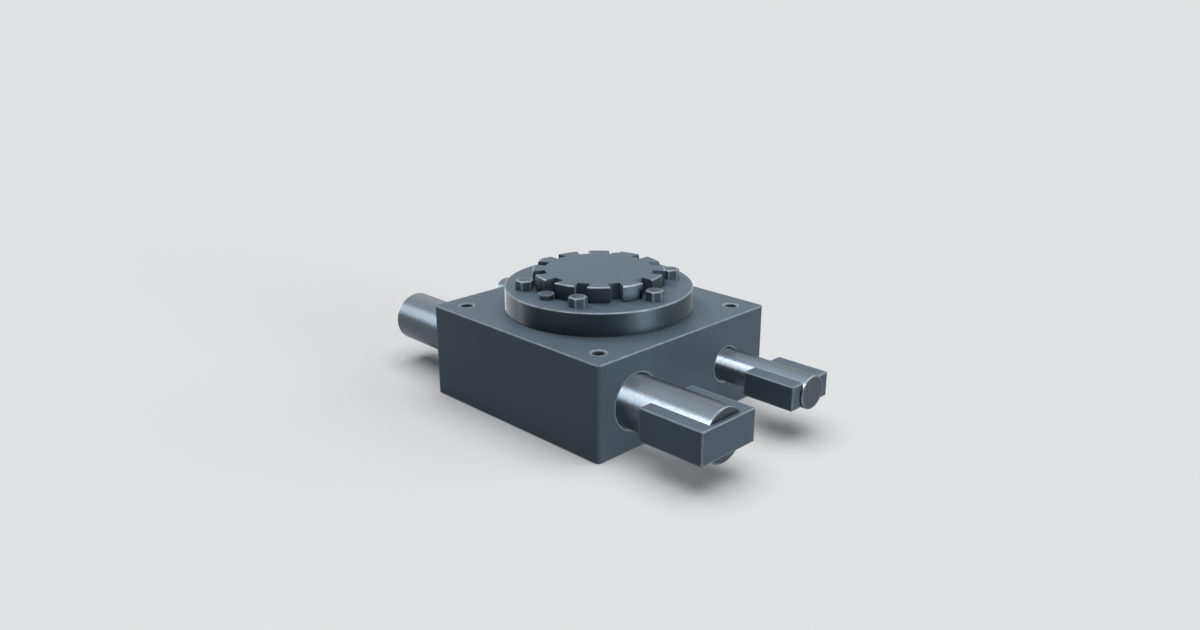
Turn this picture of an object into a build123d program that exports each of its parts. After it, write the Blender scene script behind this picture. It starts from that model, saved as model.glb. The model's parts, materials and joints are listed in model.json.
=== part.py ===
from build123d import *
from math import atan, cos, floor, pi, radians, sin, sqrt, tan
import os

# Twin round-rack unit. A pinion in a square housing meshes with teeth in a thick and a thin rod,
# so the rods slide opposite ways. Origin: centre of the housing's bottom face. The rods lie along X,
# the thick one on the -Y side, and the pinion turns about Z.

# Housing
body_length = 100.0
body_width = 100.0
body_height = 40.0
body_corner_radius = 2.0
edge_break = 0.3

# Gear set
gear_module = 1.5
pinion_teeth = 28
pressure_angle = 20.0
dedendum_factor = 1.25
gear_face = 12.0
backlash = 0.12
root_fillet = 0.35
tooth_end_bevel = 0.5
edge_tolerance = 0.001
chamber_clearance = 1.5

# Rods
thick_rod_diameter = 22.0
thin_rod_diameter = 14.0
thick_flat_depth = 1.0
thin_flat_depth = 1.25
rod_end_bevel = 0.3
stroke = 14.0
stop_gap = 1.0

# Guide rings and wipers in the rod bores, from each face inwards
bore_clearance = 0.3
running_clearance = 0.05
bore_lip = 1.0
wiper_width = 3.0
wiper_depth = 2.6
wiper_lip_gap = 0.1
wiper_back_gap = 0.8
groove_land = 1.5
guide_width = 5.0
guide_thickness = 2.0
guide_split = 2.0
guide_split_angle = 30.0

# Pinion shaft and its bushes
journal_diameter = 18.0
gear_seat_diameter = 20.0
collar_diameter = 26.0
collar_height = 2.0
shaft_end_gap = 0.5
shaft_end_bevel = 0.6
centre_hole_diameter = 2.5
centre_hole_depth = 2.2
key_width = 6.0
key_height = 6.0
key_length = 10.0
key_seat_depth = 3.5
key_top_clearance = 0.2
bush_wall = 3.0
bush_flange_diameter = 32.0
bush_flange_thickness = 2.0
lower_bush_length = 4.5
washer_diameter = 30.0
washer_thickness = 1.0
axial_play = 0.05
circlip_thickness = 1.2
circlip_groove_depth = 0.5
circlip_width = 2.6
circlip_gap_angle = 50.0
circlip_lug_diameter = 3.6
circlip_hole_diameter = 1.5
spacer_wall = 2.6

# Cover
cover_height = 10.0
cover_edge_bevel = 0.4
cover_rim = 8.0
spigot_to_screw_wall = 2.0
gasket_thickness = 0.4
gasket_inset = 0.3
spigot_to_bore_wall = 1.2
cover_screw_count = 6
cover_screw_diameter = 4.0
cover_screw_clearance = 0.25
cover_screw_engagement = 6.0
cover_screw_hole_extra = 0.6
hex_across_flats = 7.0
hex_head_height = 4.0
hex_top_bevel = 0.45
screw_to_cap = 4.0

# Slotted cap
cap_diameter = 56.0
cap_flange_height = 6.5
adjusting_gap = 0.2
cap_slot_count = 12
cap_slot_width = 5.3
cap_slot_depth = 5.2
cap_edge_bevel = 0.3
cap_thread_diameter = 40.0
cap_thread_length = 5.0
cap_neck_diameter = 42.0
cap_neck_length = 3.2
cap_neck_clearance = 0.1
cap_foot_length = 3.0
cap_foot_wall = 2.0
cap_recess_height = 7.0
seal_ring_width = 1.8
seal_ring_depth = 1.4
bush_adjusting_room = 0.3

# Lock pin in the mouth of one slot
lock_pin_offset = 2.0
lock_pin_head_diameter = 6.4
lock_pin_head_height = 0.7
lock_pin_neck_diameter = 5.4
lock_pin_neck_height = 1.5
lock_pin_shank_diameter = 4.0
lock_pin_shank_length = 6.0

# Tapped mounting holes in the housing's top
mount_spacing_x = 80.0
mount_spacing_y = 80.0
mount_core_diameter = 5.0
mount_mouth_diameter = 6.0
mount_hole_depth = 8.0
drill_point_angle = 118.0

# Yoke on the thick rod
yoke_length = 30.0
yoke_width = 30.0
yoke_height = 13.5
yoke_web = 2.0
yoke_screw_diameter = 5.0
yoke_screw_head_diameter = 10.0
yoke_screw_length = 16.0
yoke_screw_spacing = 14.0
yoke_socket_width = 3.0
yoke_socket_depth = 1.9

# Clamp bars on the thin rod
clamp_length = 23.5
clamp_width = 23.5
clamp_height = 10.2
clamp_screw_diameter = 4.0
clamp_screw_head_diameter = 8.0
clamp_screw_length = 22.0
clamp_screw_spacing = 12.0
clamp_screw_clearance = 0.25
clamp_socket_width = 2.5
clamp_socket_depth = 1.5
countersink_rim = 0.3
screw_tip_bevel = 0.5
screw_tip_room = 0.4

# Worked-out places
pitch = pi * gear_module
pitch_radius = gear_module * pinion_teeth / 2
tip_radius = pitch_radius + gear_module
dedendum = dedendum_factor * gear_module
root_radius = pitch_radius - dedendum
rack_tip_line = pitch_radius - gear_module
thick_radius = thick_rod_diameter / 2
thin_radius = thin_rod_diameter / 2
rod_z = body_height / 2
thick_y = -(rack_tip_line + thick_radius - thick_flat_depth)
thin_y = rack_tip_line + thin_radius - thin_flat_depth
chamber_radius = tip_radius + chamber_clearance

yoke_back_x = body_length / 2 + stroke + stop_gap
yoke_front_x = yoke_back_x + yoke_length
yoke_mid_x = yoke_back_x + yoke_length / 2
rod_end_x = yoke_front_x - yoke_web
yoke_screw_x = (yoke_back_x + rod_end_x) / 2

wiper_outer_x = body_length / 2 - bore_lip
wiper_inner_x = wiper_outer_x - wiper_width
guide_outer_x = wiper_inner_x - groove_land
guide_inner_x = guide_outer_x - guide_width

gear_bottom_z = rod_z - gear_face / 2
gear_top_z = rod_z + gear_face / 2
collar_bottom_z = gear_bottom_z - collar_height
lower_washer_z = collar_bottom_z - axial_play - washer_thickness
chamber_floor_z = lower_washer_z - bush_flange_thickness
lower_pocket_z = chamber_floor_z - lower_bush_length - shaft_end_gap
spigot_bottom_z = rod_z + thick_radius + bore_clearance + spigot_to_bore_wall
upper_flange_top_z = spigot_bottom_z - bush_adjusting_room
upper_flange_z = upper_flange_top_z - bush_flange_thickness
upper_washer_z = upper_flange_z - washer_thickness
spacer_bottom_z = gear_top_z + circlip_thickness
spacer_top_z = upper_washer_z - axial_play
shaft_step_z = (spacer_bottom_z + spacer_top_z) / 2

journal_radius = journal_diameter / 2
seat_radius = gear_seat_diameter / 2
bush_radius = journal_radius + bush_wall
cover_bottom_z = body_height + gasket_thickness
cover_top_z = body_height + cover_height
cover_screw_hole_depth = cover_screw_engagement + cover_screw_hole_extra
cap_flange_z = cover_top_z + adjusting_gap
cap_top_z = cap_flange_z + cap_flange_height
cap_neck_z = cover_top_z - cap_neck_length
cap_thread_z = cap_neck_z - cap_thread_length
cap_seal_z = (cap_neck_z + cover_top_z - seal_ring_width) / 2
cap_neck_radius = cap_neck_diameter / 2 - cap_neck_clearance
upper_bush_top_z = cap_thread_z - cap_foot_length
shaft_top_z = upper_bush_top_z - shaft_end_gap
cover_screw_radius = cap_diameter / 2 + screw_to_cap
cover_radius = cover_screw_radius + cover_rim
spigot_radius = cover_screw_radius - cover_screw_diameter / 2 - spigot_to_screw_wall
lock_pin_y = -(cap_diameter / 2 + lock_pin_offset)


def turned(corners):
    # A solid turned about Z, from (radius, height) corners
    return revolve(Plane.XZ * make_face(Polyline(*corners, close=True)), Axis.Z)


def tube(outer_radius, inner_radius, bottom, top):
    return turned([(inner_radius, bottom), (outer_radius, bottom), (outer_radius, top), (inner_radius, top)])


def along_x(shape):
    # Turns a piece made about Z so that its Z lies along X
    return Rot(0, 90, 0) * shape


def rod_bar(radius, start, end):
    return along_x(Pos(0, 0, (start + end) / 2) * Cylinder(radius, end - start))


def bevelled_box(length, width, height, bevel):
    box = Box(length, width, height)
    return chamfer(box.edges(), bevel)


def rod_bore(radius):
    # The space of one rod bore: running bore, a guide groove and a wiper groove at each end, bevelled mouths
    bore = radius + bore_clearance
    guide = radius + running_clearance + guide_thickness
    wiper = radius + wiper_depth
    half = along_x(turned([
        (0, 0),
        (bore, 0),
        (bore, guide_inner_x),
        (guide, guide_inner_x),
        (guide, guide_outer_x),
        (bore, guide_outer_x),
        (bore, wiper_inner_x),
        (wiper, wiper_inner_x),
        (wiper, wiper_outer_x),
        (bore, wiper_outer_x),
        (bore, body_length / 2 - edge_break),
        (bore + edge_break, body_length / 2),
        (0, body_length / 2),
    ]))
    return half + mirror(half, Plane.YZ)


def drilled_hole(diameter, mouth_diameter, depth):
    # Blind hole in the housing's top, with the drill's cone at its end and a bevelled mouth
    radius, mouth = diameter / 2, mouth_diameter / 2
    end = body_height - depth
    mouth_corner = [(mouth, body_height)] if mouth > radius else []
    return turned([
        (0, end - radius / tan(radians(drill_point_angle / 2))),
        (radius, end),
        (radius, body_height - (mouth - radius)),
        *mouth_corner,
        (0, body_height),
    ])


def make_housing():
    block = extrude(RectangleRounded(body_length, body_width, body_corner_radius), body_height)
    rims = block.faces().sort_by(Axis.Z)[-1].edges() + block.faces().sort_by(Axis.Z)[0].edges()
    block = chamfer(rims, edge_break)
    block -= turned([
        (0, lower_pocket_z),
        (bush_radius, lower_pocket_z),
        (bush_radius, chamber_floor_z),
        (chamber_radius, chamber_floor_z),
        (chamber_radius, spigot_bottom_z),
        (spigot_radius, spigot_bottom_z),
        (spigot_radius, body_height),
        (0, body_height),
    ])
    block -= Pos(0, thick_y, rod_z) * rod_bore(thick_radius)
    block -= Pos(0, thin_y, rod_z) * rod_bore(thin_radius)
    screw_hole = drilled_hole(cover_screw_diameter, cover_screw_diameter, cover_screw_hole_depth)
    block -= [place * screw_hole for place in PolarLocations(cover_screw_radius, cover_screw_count)]
    mount_hole = drilled_hole(mount_core_diameter, mount_mouth_diameter, mount_hole_depth)
    return block - [place * mount_hole for place in GridLocations(mount_spacing_x, mount_spacing_y, 2, 2)]


def make_cover():
    cover = turned([
        (bush_radius, spigot_bottom_z),
        (spigot_radius, spigot_bottom_z),
        (spigot_radius, cover_bottom_z),
        (cover_radius, cover_bottom_z),
        (cover_radius, cover_top_z - cover_edge_bevel),
        (cover_radius - cover_edge_bevel, cover_top_z),
        (cap_neck_diameter / 2, cover_top_z),
        (cap_neck_diameter / 2, cap_neck_z),
        (cap_thread_diameter / 2, cap_neck_z),
        (cap_thread_diameter / 2, cap_thread_z),
        (bush_radius, cap_thread_z),
    ])
    height = cover_top_z - spigot_bottom_z
    screw_hole = Cylinder(cover_screw_diameter / 2 + cover_screw_clearance, height)
    screw_hole = Pos(0, 0, spigot_bottom_z + height / 2) * screw_hole
    cover -= [place * screw_hole for place in PolarLocations(cover_screw_radius, cover_screw_count)]
    pin_hole = Cylinder(lock_pin_shank_diameter / 2, lock_pin_shank_length)
    cover -= Pos(0, lock_pin_y, cover_top_z - lock_pin_shank_length / 2) * pin_hole
    return cover


def make_cover_gasket():
    gasket = tube(cover_radius - gasket_inset, spigot_radius, body_height, cover_bottom_z)
    hole_radius = cover_screw_diameter / 2 + cover_screw_clearance
    hole = Pos(0, 0, body_height + gasket_thickness / 2) * Cylinder(hole_radius, gasket_thickness)
    return gasket - [place * hole for place in PolarLocations(cover_screw_radius, cover_screw_count)]


def make_hex_screw():
    # Underside of the head at height 0, shank downwards, a corner of the hexagon along X
    corner_radius = hex_across_flats / 2 / cos(pi / 6)
    head = extrude(RegularPolygon(corner_radius, 6), hex_head_height)
    head &= turned([
        (0, 0),
        (corner_radius, 0),
        (corner_radius, hex_head_height - hex_top_bevel),
        (corner_radius - 2 * hex_top_bevel, hex_head_height),
        (0, hex_head_height),
    ])
    length = cover_height + cover_screw_engagement
    radius = cover_screw_diameter / 2
    shank = turned([
        (0, 0),
        (radius, 0),
        (radius, screw_tip_bevel - length),
        (radius - screw_tip_bevel, -length),
        (0, -length),
    ])
    return head + shank


def make_cover_screws():
    screw = Pos(0, 0, cover_top_z) * make_hex_screw()
    return [place * screw for place in PolarLocations(cover_screw_radius, cover_screw_count)]


def make_slotted_cap():
    outer = cap_diameter / 2
    neck = cap_neck_radius
    thread = cap_thread_diameter / 2
    foot = bush_radius - running_clearance
    recess_z = upper_bush_top_z + cap_recess_height
    cap = turned([
        (foot - cap_foot_wall, upper_bush_top_z),
        (foot, upper_bush_top_z),
        (foot, cap_thread_z),
        (thread, cap_thread_z),
        (thread, cap_neck_z),
        (neck, cap_neck_z),
        (neck, cap_seal_z),
        (neck - seal_ring_depth, cap_seal_z),
        (neck - seal_ring_depth, cap_seal_z + seal_ring_width),
        (neck, cap_seal_z + seal_ring_width),
        (neck, cap_flange_z),
        (outer, cap_flange_z),
        (outer, cap_top_z - cap_edge_bevel),
        (outer - cap_edge_bevel, cap_top_z),
        (0, cap_top_z),
        (0, recess_z),
        (foot - cap_foot_wall, recess_z),
    ])
    slot = Box(2 * cap_slot_depth, cap_slot_width, cap_flange_height)
    slot = Pos(outer, 0, cap_flange_z + cap_flange_height / 2) * slot
    turns = [Rot(0, 0, 360 * index / cap_slot_count) for index in range(cap_slot_count)]
    return cap - [turn * slot for turn in turns]


def make_cap_seal_ring():
    inner = cap_neck_radius - seal_ring_depth
    return tube(cap_neck_diameter / 2, inner, cap_seal_z, cap_seal_z + seal_ring_width)


def make_cap_lock_pin():
    shank, neck, head = lock_pin_shank_diameter / 2, lock_pin_neck_diameter / 2, lock_pin_head_diameter / 2
    pin = turned([
        (0, -lock_pin_shank_length),
        (shank - screw_tip_bevel, -lock_pin_shank_length),
        (shank, screw_tip_bevel - lock_pin_shank_length),
        (shank, 0),
        (neck, 0),
        (neck, lock_pin_neck_height),
        (head, lock_pin_neck_height),
        (head, lock_pin_neck_height + lock_pin_head_height),
        (0, lock_pin_neck_height + lock_pin_head_height),
    ])
    return Pos(0, lock_pin_y, cover_top_z) * pin


def make_bush(flange_bottom, flange_top, sleeve_bottom, sleeve_top):
    bore = journal_radius + running_clearance
    flange = tube(bush_flange_diameter / 2, bore, flange_bottom, flange_top)
    return flange + tube(bush_radius, bore, sleeve_bottom, sleeve_top)


def make_washer(bottom):
    return tube(washer_diameter / 2, journal_radius + bore_clearance, bottom, bottom + washer_thickness)


def make_guide_ring(radius, side):
    # Split ring that snaps into the groove of the rod bore, slanted at its cut
    inner = radius + running_clearance
    ring = tube(inner + guide_thickness, inner, -guide_width / 2, guide_width / 2)
    cut = Rot(0, guide_split_angle, 0) * Box(guide_split, 2 * guide_thickness, 3 * guide_width)
    ring = along_x(ring - Pos(0, inner + guide_thickness / 2, 0) * cut)
    return Pos(side * (guide_inner_x + guide_outer_x) / 2, 0, 0) * ring


def make_wiper(radius, side):
    # Wiper with its lip towards the outside of the housing
    profile = [
        (radius + wiper_back_gap, wiper_inner_x),
        (radius + wiper_depth, wiper_inner_x),
        (radius + wiper_depth, wiper_outer_x),
        (radius + wiper_lip_gap, wiper_outer_x),
    ]
    wiper = along_x(turned(profile))
    return wiper if side > 0 else mirror(wiper, Plane.YZ)


def involute_point(base_radius, radius, half_angle):
    # Point at this radius on the left flank of the tooth that lies along +Y
    roll = sqrt((radius / base_radius) ** 2 - 1)
    turn = half_angle - (roll - atan(roll))
    return (-radius * sin(turn), radius * cos(turn))


def make_pinion_gear():
    # Each flank is the arc through the involute's start, middle and tip, and is radial below the base circle.
    # One tooth lies along +Y
    angle = radians(pressure_angle)
    base_radius = pitch_radius * cos(angle)
    half_angle = (pitch - backlash) / (4 * pitch_radius) + tan(angle) - angle
    flank = [involute_point(base_radius, radius, half_angle)
             for radius in (base_radius, (base_radius + tip_radius) / 2, tip_radius)]
    foot = (-root_radius * sin(half_angle), root_radius * cos(half_angle))
    left = Line(foot, flank[0]) + ThreePointArc(*flank)
    right = mirror(left, Plane.YZ)
    tip = ThreePointArc(flank[-1], (0, tip_radius), (-flank[-1][0], flank[-1][1]))
    inner_y = root_radius - gear_module
    base = Polyline(foot, (foot[0], inner_y), (-foot[0], inner_y), (-foot[0], foot[1]))
    tooth = make_face(left.edges() + right.edges() + tip.edges() + base.edges())
    teeth = [Rot(0, 0, 360 * index / pinion_teeth) * tooth for index in range(pinion_teeth)]
    profile = Circle(root_radius) + teeth
    corners = [corner for corner in profile.vertices()
               if abs(Vector(corner).length - root_radius) < edge_tolerance]
    profile = fillet(corners, root_fillet) - Circle(seat_radius)
    slot_top = seat_radius - key_seat_depth + key_height + key_top_clearance
    profile -= Pos(slot_top / 2, 0) * Rectangle(slot_top, key_width)
    blank = turned([
        (0, gear_bottom_z),
        (tip_radius - tooth_end_bevel, gear_bottom_z),
        (tip_radius, gear_bottom_z + tooth_end_bevel),
        (tip_radius, gear_top_z - tooth_end_bevel),
        (tip_radius - tooth_end_bevel, gear_top_z),
        (0, gear_top_z),
    ])
    return Pos(0, 0, gear_bottom_z) * extrude(profile, gear_face) & blank


def make_pinion_shaft():
    bottom = lower_pocket_z + shaft_end_gap
    groove = seat_radius - circlip_groove_depth
    shaft = turned([
        (0, bottom),
        (journal_radius - shaft_end_bevel, bottom),
        (journal_radius, bottom + shaft_end_bevel),
        (journal_radius, collar_bottom_z),
        (collar_diameter / 2, collar_bottom_z),
        (collar_diameter / 2, gear_bottom_z),
        (seat_radius, gear_bottom_z),
        (seat_radius, gear_top_z),
        (groove, gear_top_z),
        (groove, spacer_bottom_z),
        (seat_radius, spacer_bottom_z),
        (seat_radius, shaft_step_z),
        (journal_radius, shaft_step_z),
        (journal_radius, shaft_top_z - shaft_end_bevel),
        (journal_radius - shaft_end_bevel, shaft_top_z),
        (0, shaft_top_z),
    ])
    centre = Cone(0, centre_hole_diameter / 2, centre_hole_depth)
    shaft -= Pos(0, 0, shaft_top_z - centre_hole_depth / 2) * centre
    return shaft - make_pinion_key()


def make_pinion_key():
    # Round-ended key lying along Z, its bottom in the shaft's keyway
    key = extrude(SlotOverall(key_length, key_width), key_height)
    return Pos(seat_radius - key_seat_depth, 0, rod_z) * Rot(0, 90, 0) * key


def make_gear_circlip():
    # Open ring in the shaft's groove, with a drilled lug at each end for the pliers
    inner = seat_radius - circlip_groove_depth
    outer = inner + circlip_width
    half_gap = circlip_gap_angle / 2
    ends = [Rot(0, 0, side * half_gap) * Pos(inner + circlip_lug_diameter / 2, 0) for side in (-1, 1)]
    reach = 2 * outer * cos(radians(half_gap))
    spread = 2 * outer * sin(radians(half_gap))
    opening = make_face(Polyline((0, 0), (reach, -spread), (reach, spread), close=True))
    outline = Circle(outer) - opening + [end * Circle(circlip_lug_diameter / 2) for end in ends]
    outline = outline - Circle(inner) - [end * Circle(circlip_hole_diameter / 2) for end in ends]
    return Pos(0, 0, gear_top_z) * Rot(0, 0, 180) * extrude(outline, circlip_thickness)


def make_spacer_sleeve():
    outer = seat_radius + spacer_wall
    return turned([
        (seat_radius, spacer_bottom_z),
        (outer, spacer_bottom_z),
        (outer, spacer_top_z),
        (journal_radius, spacer_top_z),
        (journal_radius, shaft_step_z),
        (seat_radius, shaft_step_z),
    ])


def tooth_space(side, flat_depth):
    # One rack tooth space seen from above. It is widest where it opens towards the pinion
    slope = tan(radians(pressure_angle))
    middle = (pitch + backlash) / 4
    mouth = middle + (gear_module + flat_depth) * slope
    root = middle - dedendum * slope
    mouth_y = side * (rack_tip_line - flat_depth)
    root_y = side * (pitch_radius + dedendum)
    corners = [(-mouth, mouth_y), (mouth, mouth_y), (root, root_y), (-root, root_y)]
    return make_face(Polyline(*corners, close=True))


def make_rack(radius, axis_y, flat_depth, phase):
    # A round bar with a flat milled towards the pinion, and straight teeth cut in the flat
    side = 1 if axis_y > 0 else -1
    rod = rod_bar(radius, -rod_end_x, rod_end_x)
    rod = chamfer(rod.edges().filter_by(GeomType.CIRCLE), rod_end_bevel)
    rod = Pos(0, axis_y, rod_z) * rod
    bar_edge = rack_tip_line - flat_depth
    flat_half = stroke + sqrt(tip_radius ** 2 - bar_edge ** 2) + chamber_clearance / 2
    over = flat_half + 2 * flat_depth
    flat = make_face(Polyline(
        (-flat_half, side * rack_tip_line),
        (flat_half, side * rack_tip_line),
        (over, side * (bar_edge - flat_depth)),
        (-over, side * (bar_edge - flat_depth)),
        close=True,
    ))
    reach = stroke + sqrt(tip_radius ** 2 - rack_tip_line ** 2)
    count = floor((reach + pitch / 2) / pitch)
    space = tooth_space(side, flat_depth)
    spaces = [Pos(phase + index * pitch, 0) * space for index in range(-count, count + 1)]
    for outline in [flat] + spaces:
        rod -= Pos(0, 0, rod_z - radius) * extrude(outline, 2 * radius)
    return rod


def countersunk_body(thread_diameter, head_diameter, length):
    # Head face at height 0, pointing down: the screw's outside and the hole that takes it
    head, thread = head_diameter / 2, thread_diameter / 2
    return turned([
        (0, 0),
        (head, 0),
        (head, -countersink_rim),
        (thread, -countersink_rim - (head - thread)),
        (thread, -length),
        (0, -length),
    ])


def countersunk_screw(thread_diameter, head_diameter, length, socket_width, socket_depth):
    screw = countersunk_body(thread_diameter, head_diameter, length)
    tip = screw.faces().sort_by(Axis.Z)[0]
    screw = chamfer(tip.edges(), screw_tip_bevel)
    socket = extrude(RegularPolygon(socket_width / 2 / cos(pi / 6), 6), socket_depth)
    return screw - Pos(0, 0, -socket_depth) * socket


def facing_plus_y(shape, y, z):
    # Turns a screw made about Z so that its head faces +Y
    return Pos(0, y, z) * Rot(-90, 0, 0) * shape


def in_yoke(screw):
    # A screw or hole made about Z, at each screw place in the yoke's +Y side
    screw = facing_plus_y(screw, thick_y + yoke_width / 2, rod_z)
    return [Pos(yoke_screw_x + side * yoke_screw_spacing / 2, 0, 0) * screw for side in (-1, 1)]


def yoke_screw_holes():
    length = yoke_screw_length + screw_tip_room
    return in_yoke(countersunk_body(yoke_screw_diameter, yoke_screw_head_diameter, length))


def make_thick_rack():
    # With an odd number of pinion teeth, a space of the pinion faces this rod, so a tooth stands there
    phase = (pinion_teeth % 2) * pitch / 2
    return make_rack(thick_radius, thick_y, thick_flat_depth, phase) - yoke_screw_holes()


def make_thick_yoke():
    block = bevelled_box(yoke_length, yoke_width, yoke_height, edge_break)
    block = Pos(yoke_mid_x, thick_y, rod_z) * block
    block -= Pos(0, thick_y, rod_z) * rod_seat(thick_radius, yoke_back_x, rod_end_x)
    return block - yoke_screw_holes()


def rod_seat(radius, start, end):
    # The end of the rod with its bevel, as the space that it leaves in the block round it
    bar = rod_bar(radius, start, end)
    return chamfer(bar.edges().filter_by(GeomType.CIRCLE).sort_by(Axis.X)[-1], rod_end_bevel)


def make_thick_yoke_screws():
    return in_yoke(countersunk_screw(
        yoke_screw_diameter, yoke_screw_head_diameter, yoke_screw_length,
        yoke_socket_width, yoke_socket_depth))


def in_clamp(screw):
    # A screw or hole made about Z, at each screw place in the far bar's +Y side
    screw = facing_plus_y(screw, thin_y + clamp_width / 2, rod_z)
    return [Pos(yoke_mid_x + side * clamp_screw_spacing / 2, 0, 0) * screw for side in (-1, 1)]


def clamp_bar(side):
    block = bevelled_box(clamp_length, clamp_width, clamp_height, edge_break)
    block = Pos(yoke_mid_x, thin_y, rod_z) * block
    half = Box(clamp_length, clamp_width / 2, clamp_height)
    block &= Pos(yoke_mid_x, thin_y + side * clamp_width / 4, rod_z) * half
    return block - Pos(0, thin_y, rod_z) * rod_bar(thin_radius, -rod_end_x, rod_end_x)


def make_thin_clamp_near():
    depth = clamp_screw_length + screw_tip_room
    return clamp_bar(-1) - in_clamp(Pos(0, 0, -depth / 2) * Cylinder(clamp_screw_diameter / 2, depth))


def make_thin_clamp_far():
    hole = countersunk_body(clamp_screw_diameter, clamp_screw_head_diameter, clamp_screw_length)
    return clamp_bar(1) - in_clamp(hole)


def make_thin_clamp_screws():
    return in_clamp(countersunk_screw(
        clamp_screw_diameter, clamp_screw_head_diameter, clamp_screw_length,
        clamp_socket_width, clamp_socket_depth))


def make_thin_rack():
    hole_radius = clamp_screw_diameter / 2 + clamp_screw_clearance
    hole = Pos(0, 0, -clamp_width / 2) * Cylinder(hole_radius, clamp_width)
    return make_rack(thin_radius, thin_y, thin_flat_depth, 0) - in_clamp(hole)


nodes = {
    "housing": make_housing(),
    "cover": make_cover(),
    "cover_gasket": make_cover_gasket(),
    "cover_screws": make_cover_screws(),
    "slotted_cap": make_slotted_cap(),
    "cap_seal_ring": make_cap_seal_ring(),
    "cap_lock_pin": make_cap_lock_pin(),
    "lower_bush": make_bush(
        chamber_floor_z, lower_washer_z, chamber_floor_z - lower_bush_length, chamber_floor_z),
    "upper_bush": make_bush(upper_flange_z, upper_flange_top_z, upper_flange_top_z, upper_bush_top_z),
    "lower_thrust_washer": make_washer(lower_washer_z),
    "upper_thrust_washer": make_washer(upper_washer_z),
    "pinion_shaft": make_pinion_shaft(),
    "pinion_gear": make_pinion_gear(),
    "pinion_key": make_pinion_key(),
    "gear_circlip": make_gear_circlip(),
    "spacer_sleeve": make_spacer_sleeve(),
    "thick_rack": make_thick_rack(),
    "thick_yoke": make_thick_yoke(),
    "thick_yoke_screws": make_thick_yoke_screws(),
    "thin_rack": make_thin_rack(),
    "thin_clamp_near": make_thin_clamp_near(),
    "thin_clamp_far": make_thin_clamp_far(),
    "thin_clamp_screws": make_thin_clamp_screws(),
}
for rod, radius, axis_y in (("thick", thick_radius, thick_y), ("thin", thin_radius, thin_y)):
    for end, side in (("front", 1), ("rear", -1)):
        nodes[f"{rod}_guide_{end}"] = Pos(0, axis_y, rod_z) * make_guide_ring(radius, side)
        nodes[f"{rod}_wiper_{end}"] = Pos(0, axis_y, rod_z) * make_wiper(radius, side)

os.makedirs("parts", exist_ok=True)
for name, shape in nodes.items():
    solids = shape if isinstance(shape, list) else [shape]
    pieces = Compound(children=[solid for piece in solids for solid in piece.solids()])
    export_step(pieces, f"parts/{name}.step")
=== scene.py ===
import json
import math

import bpy
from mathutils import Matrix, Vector

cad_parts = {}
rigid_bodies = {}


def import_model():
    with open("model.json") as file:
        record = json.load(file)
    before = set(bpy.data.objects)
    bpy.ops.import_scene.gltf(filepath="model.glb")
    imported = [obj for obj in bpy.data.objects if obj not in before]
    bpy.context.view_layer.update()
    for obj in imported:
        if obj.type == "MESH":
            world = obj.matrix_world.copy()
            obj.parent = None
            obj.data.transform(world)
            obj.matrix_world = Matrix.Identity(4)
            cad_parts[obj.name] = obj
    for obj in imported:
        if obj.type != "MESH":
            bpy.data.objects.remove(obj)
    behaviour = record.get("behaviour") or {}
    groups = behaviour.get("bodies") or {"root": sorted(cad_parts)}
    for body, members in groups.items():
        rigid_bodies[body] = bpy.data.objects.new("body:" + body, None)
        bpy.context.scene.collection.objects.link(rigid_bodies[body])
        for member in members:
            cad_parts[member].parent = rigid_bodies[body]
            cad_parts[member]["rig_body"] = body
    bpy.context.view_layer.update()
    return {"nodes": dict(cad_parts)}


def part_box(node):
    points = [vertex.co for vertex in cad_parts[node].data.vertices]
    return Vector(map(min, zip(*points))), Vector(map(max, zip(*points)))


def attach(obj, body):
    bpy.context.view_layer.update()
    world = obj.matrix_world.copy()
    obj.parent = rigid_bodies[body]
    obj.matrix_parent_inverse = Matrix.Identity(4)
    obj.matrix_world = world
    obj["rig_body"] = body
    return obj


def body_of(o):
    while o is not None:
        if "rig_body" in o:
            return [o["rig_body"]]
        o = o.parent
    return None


# Twin round-rack unit in dark satin steel. The CAD pieces carry the shapes. This script gives them their
# finishes, adds the thread ridges in the four corner holes, and sets up the camera, the lights and the floor.

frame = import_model()
nodes = frame["nodes"]
print("loaded", len(nodes), "CAD nodes")


class Wire:  # a shader socket that can be used in sums
    def __init__(self, socket):
        self.socket = socket

    def work(self, operation, *others, first=None):
        tree = self.socket.id_data
        node = tree.nodes.new("ShaderNodeMath")
        node.operation = operation
        values = [self, *others] if first is None else [first, self]
        for place, value in zip(node.inputs, values):
            plug(place, value)
        return Wire(node.outputs[0])

    def __add__(self, other):
        return self.work("ADD", other)

    def __sub__(self, other):
        return self.work("SUBTRACT", other)

    def __mul__(self, other):
        return self.work("MULTIPLY", other)

    def __truediv__(self, other):
        return self.work("DIVIDE", other)

    def __rsub__(self, other):
        return self.work("SUBTRACT", first=other)

    def __abs__(self):
        return self.work("ABSOLUTE")

    __radd__ = __add__
    __rmul__ = __mul__


def plug(place, value):
    if isinstance(value, Wire):
        place.id_data.links.new(value.socket, place)
    else:
        place.default_value = value


class Tree:  # a node tree under construction
    def __init__(self, tree):
        self.tree = tree
        tree.nodes.clear()

    def add(self, kind, settings=None, sockets=None, out=0):
        node = self.tree.nodes.new(kind)
        for key, value in (settings or {}).items():
            setattr(node, key, value)
        for key, value in (sockets or {}).items():
            plug(node.inputs[key], value)
        return Wire(node.outputs[out]) if node.outputs else None


def largest(*wires):
    top = wires[0]
    for wire in wires[1:]:
        top = top.work("MAXIMUM", wire)
    return top


def blendColours(tree, amount, low, high):
    settings = {"data_type": "RGBA"}
    return tree.add("ShaderNodeMix", settings, {0: amount, 6: low, 7: high}, out=2)


def fadeNear(distance, width):  # 1 where the distance is nil, 0 from width outwards
    return (1 - distance / width).work("MAXIMUM", 0.0)


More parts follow.
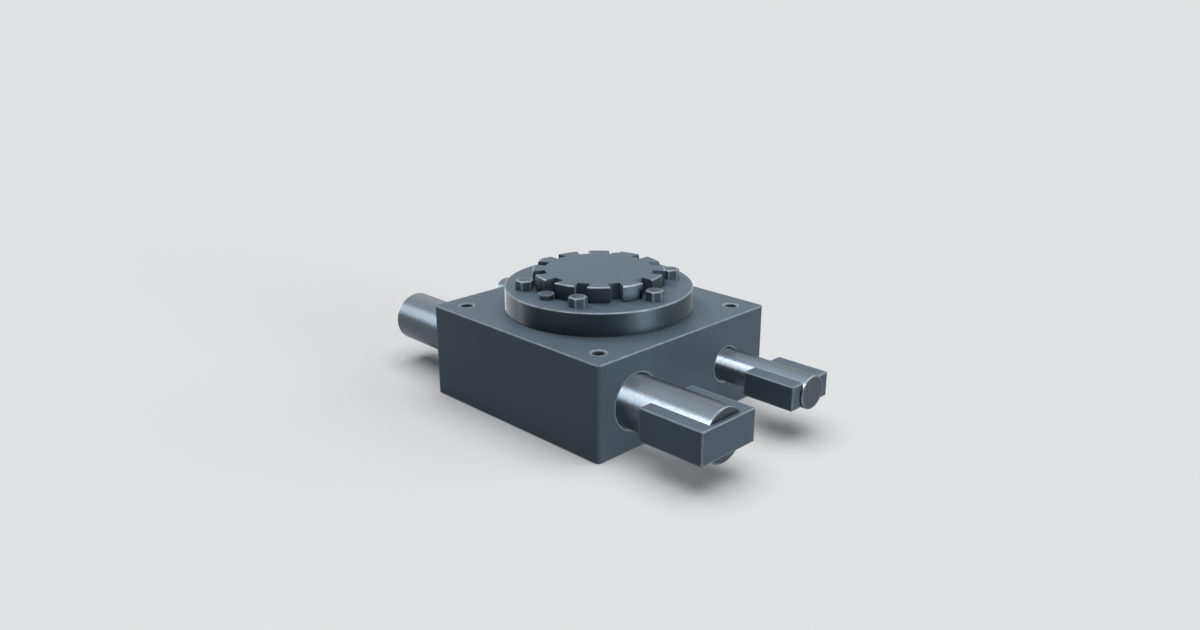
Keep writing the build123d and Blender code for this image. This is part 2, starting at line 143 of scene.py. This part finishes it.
def fromAxis(first, second, firstCentre=0.0, secondCentre=0.0):  # the distance from an axis
    across, along = first - firstCentre, second - secondCentre
    return (across * across + along * along).work("SQRT")


steelLook = {  # lengths in metres
    "dark": (0.076, 0.103, 0.131, 1.0),
    "light": (0.097, 0.130, 0.164, 1.0),
    # edge colour: partly rubbed bare metal, partly a painted highlight where edges would catch light
    "rubbedAndHighlitColour": (0.30, 0.34, 0.38, 1.0),
    "metallic": 0.15,
    "specular": 0.10,
    "rough": 0.42,
    "roughSpread": 0.10,
    "blotchPerMetre": 38.0,
    "grainPerMetre": 1900.0,
    "grainDepth": 0.000003,
    "linesPerMetre": 1900.0,
    "lineDepth": 0.000005,
    "millStretch": 0.03,  # below 1 draws the mill lines out along X
    "sideRadius": 0.0,  # nil where a piece has no turned side
    "sideDepth": 0.0002,
    # painted shade: the darker colour given to the discs' turned sides
    "sideTone": (0.031, 0.042, 0.052, 1.0),
    "sideMetallic": 0.8,
    "sideRough": 0.39,
    # width, strength and pattern of the lighter edges, partly wear and partly painted highlight
    "rubbedAndHighlitWidth": 0.0008,
    "rubbedAndHighlitAmount": 0.85,
    "rubbedAndHighlitGain": 2.0,
    "rubbedAndHighlitPerMetre": 260.0,
    "rubbedAndHighlitSmoothing": 0.1,
}


def satinSteel(name, pattern="mill", axis=(0.0, 0.0), edges=None, **changes):
    # pattern: mill lines along X, turned rings about a vertical axis, or ground rings about a rod along X
    look = {**steelLook, **changes}
    material = bpy.data.materials.new(name)
    material.use_nodes = True
    tree = Tree(material.node_tree)
    coords = tree.add("ShaderNodeTexCoord", out=3)
    split = tree.add("ShaderNodeSeparateXYZ", sockets={"Vector": coords})
    x, y, z = [Wire(socket) for socket in split.socket.node.outputs]
    blotch = tree.add("ShaderNodeTexNoise", sockets={
        "Vector": coords, "Scale": look["blotchPerMetre"], "Detail": 3.0, "Roughness": 0.55})
    fine = tree.add("ShaderNodeTexNoise", sockets={
        "Vector": coords, "Scale": look["grainPerMetre"], "Detail": 2.0, "Roughness": 0.6})
    if pattern == "mill":
        stretch = (look["millStretch"], 1.0, 1.0)
        along = tree.add("ShaderNodeMapping", sockets={"Vector": coords, "Scale": stretch})
    elif pattern == "turned":
        radius = fromAxis(x, y)
        along = tree.add("ShaderNodeCombineXYZ", sockets={0: radius, 1: z, 2: 0.0})
    else:
        radius = fromAxis(y, z, *axis)
        along = tree.add("ShaderNodeCombineXYZ", sockets={0: radius, 1: x, 2: 0.0})
    lines = tree.add("ShaderNodeTexNoise", sockets={
        "Vector": along, "Scale": look["linesPerMetre"], "Detail": 2.0, "Roughness": 0.5})
    tone = blendColours(tree, blotch, look["dark"], look["light"])
    side = None
    if look["sideRadius"]:  # the turned side gets a darker colour as painted shade, and is more of a mirror than the faced top
        side = radius.work("GREATER_THAN", look["sideRadius"] - look["sideDepth"])
        tone = blendColours(tree, side, tone, look["sideTone"])
    if edges is None:
        colour = tone
        rubbedAndHighlit = None
    else:
        # lighter edges and mouths: partly wear, partly painted highlight; the edges are also made smoother
        patchy = tree.add("ShaderNodeTexNoise", sockets={
            "Vector": coords, "Scale": look["rubbedAndHighlitPerMetre"], "Detail": 4.0, "Roughness": 0.65})
        mask = edges(x, y, z, look["rubbedAndHighlitWidth"]) * patchy * look["rubbedAndHighlitGain"]
        rubbedAndHighlit = tree.add("ShaderNodeClamp", sockets={"Value": mask}) * look["rubbedAndHighlitAmount"]
        colour = blendColours(tree, rubbedAndHighlit, tone, look["rubbedAndHighlitColour"])
    rough = look["rough"] + (blotch - 0.5) * look["roughSpread"] + (lines - 0.5) * look["roughSpread"]
    if rubbedAndHighlit is not None:
        rough = rough - rubbedAndHighlit * look["rubbedAndHighlitSmoothing"]
    metallic = look["metallic"]
    if side is not None:
        rough = rough + side * (look["sideRough"] - look["rough"])
        metallic = metallic + side * (look["sideMetallic"] - metallic)
    relief = lines * look["lineDepth"] + fine * look["grainDepth"]
    bump = tree.add("ShaderNodeBump", sockets={"Strength": 1.0, "Distance": 1.0, "Height": relief})
    shader = tree.add("ShaderNodeBsdfPrincipled", sockets={
        "Base Color": colour, "Metallic": metallic, "Roughness": rough,
        "Specular IOR Level": look["specular"], "Normal": bump})
    tree.add("ShaderNodeOutputMaterial", sockets={"Surface": shader})
    return material


softGrain = {  # lengths in metres
    "perMetre": 900.0,
    "depth": 0.00003,
    "strength": 0.5,
    "roughSpread": 0.1,
}
softLook = {
    "sealRubber": {"dark": (0.012, 0.012, 0.013, 1.0), "light": (0.022, 0.022, 0.024, 1.0), "rough": 0.62},
    "guidePlastic": {"dark": (0.020, 0.020, 0.021, 1.0), "light": (0.034, 0.034, 0.036, 1.0), "rough": 0.5},
    "gasketFibre": {"dark": (0.035, 0.038, 0.042, 1.0), "light": (0.060, 0.064, 0.070, 1.0), "rough": 0.8},
}


def softMaterial(name):
    look = softLook[name]
    material = bpy.data.materials.new(name)
    material.use_nodes = True
    tree = Tree(material.node_tree)
    coords = tree.add("ShaderNodeTexCoord", out=3)
    speckle = tree.add("ShaderNodeTexNoise", sockets={
        "Vector": coords, "Scale": softGrain["perMetre"], "Detail": 4.0, "Roughness": 0.6})
    colour = blendColours(tree, speckle, look["dark"], look["light"])
    rough = look["rough"] + (speckle - 0.5) * softGrain["roughSpread"]
    bump = tree.add("ShaderNodeBump", sockets={
        "Strength": softGrain["strength"], "Distance": softGrain["depth"], "Height": speckle})
    shader = tree.add("ShaderNodeBsdfPrincipled", sockets={
        "Base Color": colour, "Roughness": rough, "Normal": bump})
    tree.add("ShaderNodeOutputMaterial", sockets={"Surface": shader})
    return material


def dress(material, *names):
    for name in names:
        mesh = nodes[name].data
        mesh.materials.clear()
        mesh.materials.append(material)


def edgesOfNode(*names):
    # Edges of the box round one or more nodes
    lows = [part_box(name)[0] for name in names]
    highs = [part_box(name)[1] for name in names]
    low = [min(corner[axis] for corner in lows) for axis in range(3)]
    high = [max(corner[axis] for corner in highs) for axis in range(3)]

    def mask(x, y, z, width):
        near = []
        for value, start, end in zip((x, y, z), low, high):
            near.append(fadeNear(abs(abs(value - (start + end) / 2) - (end - start) / 2), width))
        return largest(near[0] * near[1], near[1] * near[2], near[0] * near[2])
    return mask


def rimOfDisc(name):
    # Upper rim of a round piece that stands on a vertical axis
    low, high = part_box(name)
    middleX, middleY, discRadius = (low.x + high.x) / 2, (low.y + high.y) / 2, (high.y - low.y) / 2

    def mask(x, y, z, width):
        radius = fromAxis(x, y, middleX, middleY)
        return fadeNear(abs(radius - discRadius), width) * fadeNear(abs(z - high.z), width)
    return mask


def rimsOfRod(name):
    # Both end rims of a round rod along X
    low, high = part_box(name)
    middleY, middleZ, rodRadius = (low.y + high.y) / 2, (low.z + high.z) / 2, (high.z - low.z) / 2
    middleX, half = (low.x + high.x) / 2, (high.x - low.x) / 2

    def mask(x, y, z, width):
        radius = fromAxis(y, z, middleY, middleZ)
        return fadeNear(abs(radius - rodRadius), width) * fadeNear(abs(abs(x - middleX) - half), width)
    return mask


rods = ["thick_rack", "thin_rack"]
discs = ["cover", "slotted_cap"]
housingLow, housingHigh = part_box("housing")

cornerThreads = {  # metres; the ridge of the thread stands in from the wall of each hole
    "holeRadius": 0.0025,
    "mouthRadius": 0.003,
    "holeSpacing": 0.080,
    "pitch": 0.001,
    "turns": 6.0,
    "ridgeHeight": 0.00025,
    "ridgeSink": 0.00003,
    "runOutTurns": 0.5,
    "tipSize": 0.12,  # of the full ridge
    "lowest": 0.033,
    "stepsPerTurn": 28,
}
rodBores = {
    "mouthGap": 0.0006,  # metres from a rod's surface to the middle of its bore's mouth ring, lighter as wear and as painted highlight
}


def edgesOfHousing():
    # The block's own edges, the mouths of its corner holes and of the two rod bores, made lighter as wear and
    # as painted highlight
    block = edgesOfNode("housing")
    corner = cornerThreads["holeSpacing"] / 2

    def mask(x, y, z, width):
        found = [block(x, y, z, width)]
        fromHole = fromAxis(abs(x), abs(y), corner, corner)
        atTop = fadeNear(abs(z - housingHigh.z), width)
        found.append(fadeNear(abs(fromHole - cornerThreads["mouthRadius"]), width) * atTop)
        atEnds = fadeNear(abs(abs(x) - housingHigh.x), width)
        for rod in rods:
            low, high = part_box(rod)
            fromRod = fromAxis(y, z, (low.y + high.y) / 2, (low.z + high.z) / 2) - (high.y - low.y) / 2
            found.append(fadeNear(abs(fromRod - rodBores["mouthGap"]), width) * atEnds)
        return largest(*found)
    return mask


dress(satinSteel("housingSteel", edges=edgesOfHousing()), "housing")
for disc in discs:
    dress(satinSteel(disc + "Steel", "turned", edges=rimOfDisc(disc), sideRadius=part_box(disc)[1].x), disc)


coverScrews = {  # metres, from the cover's axis and from each screw's own
    "circleRadius": 0.032,
    "count": 6,
    "topRadius": 0.0032,
    "cornerRadius": 0.00404,
}


def edgesOfScrews():
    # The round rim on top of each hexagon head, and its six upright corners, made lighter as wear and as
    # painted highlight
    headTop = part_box("cover_screws")[1].z
    circle, share = coverScrews["circleRadius"], math.pi / coverScrews["count"]

    def mask(x, y, z, width):
        out = fromAxis(x, y)
        turn = y.work("ARCTAN2", x).work("WRAP", share, -share).work("COSINE")
        fromScrew = (out * out + circle * circle - out * turn * (2 * circle)).work("SQRT")
        rim = fadeNear(abs(fromScrew - coverScrews["topRadius"]), width) * fadeNear(abs(z - headTop), width)
        corners = fadeNear(abs(fromScrew - coverScrews["cornerRadius"]), width / 2)
        return largest(rim, corners)
    return mask


boughtLook = {"rough": 0.36, "grainPerMetre": 2600.0}  # screws and pin
screwLook = {
    **boughtLook,
    "metallic": 0.3,
    "dark": (0.070, 0.094, 0.120, 1.0),
    "light": (0.081, 0.109, 0.137, 1.0),
}
dress(satinSteel("screwSteel", edges=edgesOfScrews(), **screwLook), "cover_screws")
dress(satinSteel("pinSteel", edges=rimOfDisc("cap_lock_pin"), **boughtLook), "cap_lock_pin")
dress(satinSteel("socketScrewSteel", **boughtLook), "thick_yoke_screws", "thin_clamp_screws")

rodLook = {  # deep rings round the rod stretch the light along it
    "rough": 0.27,
    "roughSpread": 0.04,
    "metallic": 0.95,
    "specular": 0.3,
    "linesPerMetre": 7000.0,
    "lineDepth": 0.000045,
    "dark": (0.065, 0.080, 0.095, 1.0),
    "light": (0.076, 0.092, 0.109, 1.0),
}
for rod in rods:
    low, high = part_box(rod)
    axis = ((low.y + high.y) / 2, (low.z + high.z) / 2)
    dress(satinSteel(rod + "Steel", "ground", axis, rimsOfRod(rod), **rodLook), rod)

clampBars = ["thin_clamp_near", "thin_clamp_far"]
dress(satinSteel("yokeSteel", edges=edgesOfNode("thick_yoke")), "thick_yoke")
dress(satinSteel("clampSteel", edges=edgesOfNode(*clampBars)), *clampBars)

innerLook = {  # the turned pieces out of sight
    "gearSteel": {"metallic": 1.0, "rough": 0.3,
                  "dark": (0.36, 0.37, 0.38, 1.0), "light": (0.45, 0.46, 0.47, 1.0)},
    "springSteel": {"metallic": 1.0, "rough": 0.35,
                    "dark": (0.14, 0.15, 0.17, 1.0), "light": (0.18, 0.19, 0.21, 1.0)},
    "bushBronze": {"metallic": 1.0, "rough": 0.32,
                   "dark": (0.42, 0.26, 0.11, 1.0), "light": (0.52, 0.33, 0.15, 1.0)},
}
innerPieces = {
    "gearSteel": ["pinion_shaft", "pinion_gear", "pinion_key", "spacer_sleeve",
                  "lower_thrust_washer", "upper_thrust_washer"],
    "springSteel": ["gear_circlip"],
    "bushBronze": ["lower_bush", "upper_bush"],
}
for finish, pieces in innerPieces.items():
    dress(satinSteel(finish, "turned", **innerLook[finish]), *pieces)

softPieces = {
    "sealRubber": ["cap_seal_ring", "thick_wiper_front", "thick_wiper_rear", "thin_wiper_front",
                   "thin_wiper_rear"],
    "guidePlastic": ["thick_guide_front", "thick_guide_rear", "thin_guide_front", "thin_guide_rear"],
    "gasketFibre": ["cover_gasket"],
}
for finish, pieces in softPieces.items():
    dress(softMaterial(finish), *pieces)
print("finishes on all CAD nodes")


def threadTree(material):
    # A spiral ridge in each corner hole of the housing, from the sizes in cornerThreads
    group = bpy.data.node_groups.new("cornerThreads", "GeometryNodeTree")
    for name, size in cornerThreads.items():
        kind = "NodeSocketInt" if isinstance(size, int) else "NodeSocketFloat"
        group.interface.new_socket(name=name, in_out="INPUT", socket_type=kind)
    group.interface.new_socket(name="Geometry", in_out="OUTPUT", socket_type="NodeSocketGeometry")
    tree = Tree(group)
    inputs = tree.add("NodeGroupInput").socket.node.outputs
    given = {socket.name: Wire(socket) for socket in inputs if socket.name}
    wall = given["holeRadius"] + given["ridgeSink"]
    spiral = tree.add("GeometryNodeCurveSpiral", sockets={
        "Resolution": given["stepsPerTurn"], "Rotations": given["turns"], "Start Radius": wall,
        "End Radius": wall, "Height": given["turns"] * given["pitch"]})
    upright = tree.add("GeometryNodeSetCurveNormal", {"mode": "Z_UP"}, {"Curve": spiral})
    size = (given["ridgeHeight"] + given["ridgeSink"]) / 1.5  # of the circle round a three-sided profile
    triangle = tree.add("GeometryNodeCurvePrimitiveCircle", {"mode": "RADIUS"}, {
        "Resolution": 3, "Radius": size})
    toBase = tree.add("ShaderNodeCombineXYZ", sockets={0: size / 2, 1: 0.0, 2: 0.0})
    profile = tree.add("GeometryNodeTransform", sockets={"Geometry": triangle, "Translation": toBase})
    along = tree.add("GeometryNodeSplineParameter")
    fromEnd = (0.5 - abs(along - 0.5)) * given["turns"] / given["runOutTurns"]
    swell = fromEnd.work("MAXIMUM", given["tipSize"]).work("MINIMUM", 1.0)
    ridge = tree.add("GeometryNodeCurveToMesh", sockets={
        "Curve": upright, "Profile Curve": profile, "Scale": swell, "Fill Caps": True})
    corners = tree.add("GeometryNodeMeshGrid", sockets={
        "Size X": given["holeSpacing"], "Size Y": given["holeSpacing"], "Vertices X": 2, "Vertices Y": 2})
    placed = tree.add("GeometryNodeInstanceOnPoints", sockets={"Points": corners, "Instance": ridge})
    lift = tree.add("ShaderNodeCombineXYZ", sockets={0: 0.0, 1: 0.0, 2: given["lowest"]})
    raised = tree.add("GeometryNodeTransform", sockets={"Geometry": placed, "Translation": lift})
    real = tree.add("GeometryNodeRealizeInstances", sockets={"Geometry": raised})
    dressed = tree.add("GeometryNodeSetMaterial", sockets={"Geometry": real, "Material": material})
    tree.add("NodeGroupOutput", sockets={"Geometry": dressed})
    return group


threadLook = {
    "rough": 0.34,
    "dark": (0.10, 0.135, 0.17, 1.0),
    "light": (0.12, 0.155, 0.19, 1.0),
}


def makeThreads():
    group = threadTree(satinSteel("threadSteel", "turned", **threadLook))
    seed = bpy.data.objects.new("seed", bpy.data.meshes.new("seed"))
    bpy.context.scene.collection.objects.link(seed)
    modifier = seed.modifiers.new("threads", "NODES")
    modifier.node_group = group
    for item in group.interface.items_tree:
        if item.name in cornerThreads:
            modifier[item.identifier] = cornerThreads[item.name]
    evaluated = seed.evaluated_get(bpy.context.evaluated_depsgraph_get())
    mesh = bpy.data.meshes.new_from_object(evaluated)
    bpy.data.objects.remove(seed)
    mesh.materials.pop(index=0)  # the empty slot that comes before the threads' own
    threads = bpy.data.objects.new("corner_threads", mesh)
    bpy.context.scene.collection.objects.link(threads)
    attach(threads, "housing_unit")
    print("corner threads:", len(mesh.polygons), "faces")


makeThreads()


cameraView = {
    "place": (0.29793, -0.29712, 0.18001),  # metres
    "azimuth": 45.005,  # degrees, as the next one
    "down": 18.944,
    "focalInFrameWidths": 1035.188 / 1200,
    "sensorWidth": 36.0,
    "nearest": 0.01,
    "farthest": 100.0,
}


def setCamera():
    data = bpy.data.cameras.new("camera")
    data.sensor_width = cameraView["sensorWidth"]
    data.lens = cameraView["sensorWidth"] * cameraView["focalInFrameWidths"]
    data.clip_start = cameraView["nearest"]
    data.clip_end = cameraView["farthest"]
    camera = bpy.data.objects.new("camera", data)
    camera.location = cameraView["place"]
    camera.rotation_euler = (math.radians(90 - cameraView["down"]), 0.0, math.radians(cameraView["azimuth"]))
    bpy.context.scene.collection.objects.link(camera)
    bpy.context.scene.camera = camera


offRods = [name for name in nodes if name not in rods]
studio = {
    "pale": (0.745, 0.760, 0.776, 1.0),
    "floorPale": (0.742, 0.748, 0.753, 1.0),
    "floorForBounce": (0.15, 0.155, 0.16, 1.0),
    "ambient": (0.052, 0.054, 0.056, 1.0),
    "floorRadius": 30.0,  # metres
    "lamps": {  # suns: on names the pieces that one lights, shadowFrom the pieces or bodies that shade them
        "key": {"strength": 1.12, "angle": 20.0, "from": (0.97, 0.12, 0.14), "shadowFrom": ["housing_unit"]},
        "side": {"strength": 0.85, "angle": 50.0, "from": (0.61, 0.67, 0.42), "shadowFrom": ["housing_unit"]},
        "overhead": {"strength": 2.5, "angle": 70.0, "from": (0.0, 0.0, 1.0)},
        "rim": {"strength": 1.3, "angle": 20.0, "from": (-0.72, -0.06, 0.69), "on": offRods},
        "discShine": {"strength": 2.2, "angle": 16.0, "from": (0.93, 0.17, -0.10), "on": discs,
                      "shadowFrom": ["housing_unit"]},
        "discLeft": {"strength": 5.5, "angle": 40.0, "from": (-0.94, 0.13, -0.32), "on": discs,
                     "shadowFrom": discs},
        "discRight": {"strength": 3.8, "angle": 40.0, "from": (-0.13, 0.94, -0.32), "on": discs,
                      "shadowFrom": discs},
        "rodRim": {"strength": 4.0, "angle": 42.0, "from": (-0.53, -0.65, 0.55), "on": rods,
                   "shadowFrom": ["thick_rod", "thin_rod"]},
        "rodSky": {"strength": 1.0, "angle": 70.0, "from": (-0.60, 0.30, 0.74), "on": rods,
                   "shadowFrom": ["thick_rod", "thin_rod"]},
        "rodShine": {"strength": 4.0, "angle": 16.0, "from": (-0.20, -0.60, 0.77), "on": rods,
                     "shadowFrom": ["thick_rod", "thin_rod"]},
        "rodGlow": {"strength": 3.0, "angle": 30.0, "from": (0.20, -0.60, -0.75), "on": rods,
                    "shadowFrom": ["thick_rod", "thin_rod"]},
    },
}


def paleToViewer(tree):
    # 1 for what the camera sees, straight or through gloss or glass
    path = tree.add("ShaderNodeLightPath").socket.node.outputs
    return largest(*[Wire(path[name]) for name in ("Is Camera Ray", "Is Glossy Ray", "Is Transmission Ray")])


def setWorld():
    world = bpy.data.worlds.new("studio")
    world.use_nodes = True
    bpy.context.scene.world = world
    tree = Tree(world.node_tree)
    shown = tree.add("ShaderNodeBackground", sockets={"Color": studio["pale"]})
    lighting = tree.add("ShaderNodeBackground", sockets={"Color": studio["ambient"]})
    mix = tree.add("ShaderNodeMixShader", sockets={0: paleToViewer(tree), 1: lighting, 2: shown})
    tree.add("ShaderNodeOutputWorld", sockets={"Surface": mix})


def setFloor():
    mesh = bpy.data.meshes.new("floor")
    size, level = studio["floorRadius"], housingLow.z
    mesh.from_pydata([(-size, -size, level), (size, -size, level), (size, size, level), (-size, size, level)],
                     [], [(0, 1, 2, 3)])
    floor = bpy.data.objects.new("floor", mesh)
    bpy.context.scene.collection.objects.link(floor)
    material = bpy.data.materials.new("floorPaint")
    material.use_nodes = True
    tree = Tree(material.node_tree)
    colour = blendColours(tree, paleToViewer(tree), studio["floorForBounce"], studio["floorPale"])
    shader = tree.add("ShaderNodeBsdfDiffuse", sockets={"Color": colour})
    tree.add("ShaderNodeOutputMaterial", sockets={"Surface": shader})
    mesh.materials.append(material)


def gathered(name, pieces):
    group = bpy.data.collections.new(name)
    for piece in pieces:
        group.objects.link(piece)
    return group


def setLamps():
    for name, light in studio["lamps"].items():
        data = bpy.data.lights.new(name, "SUN")
        data.energy = light["strength"]
        data.angle = math.radians(light["angle"])
        lamp = bpy.data.objects.new(name, data)
        lamp.rotation_euler = Vector(light["from"]).to_track_quat("Z", "Y").to_euler()
        if "on" in light:  # it leaves the floor dark
            lit = [nodes[piece] for piece in light["on"]]
            lamp.light_linking.receiver_collection = gathered(name + "Lit", lit)
        if "shadowFrom" in light:
            solid = [node for piece, node in nodes.items()
                     if piece in light["shadowFrom"] or body_of(node)[0] in light["shadowFrom"]]
            lamp.light_linking.blocker_collection = gathered(name + "Shadow", solid)
        bpy.context.scene.collection.objects.link(lamp)


setCamera()
setWorld()
setFloor()
setLamps()
bpy.context.scene.view_settings.view_transform = "Standard"
print("camera, lights and floor set")
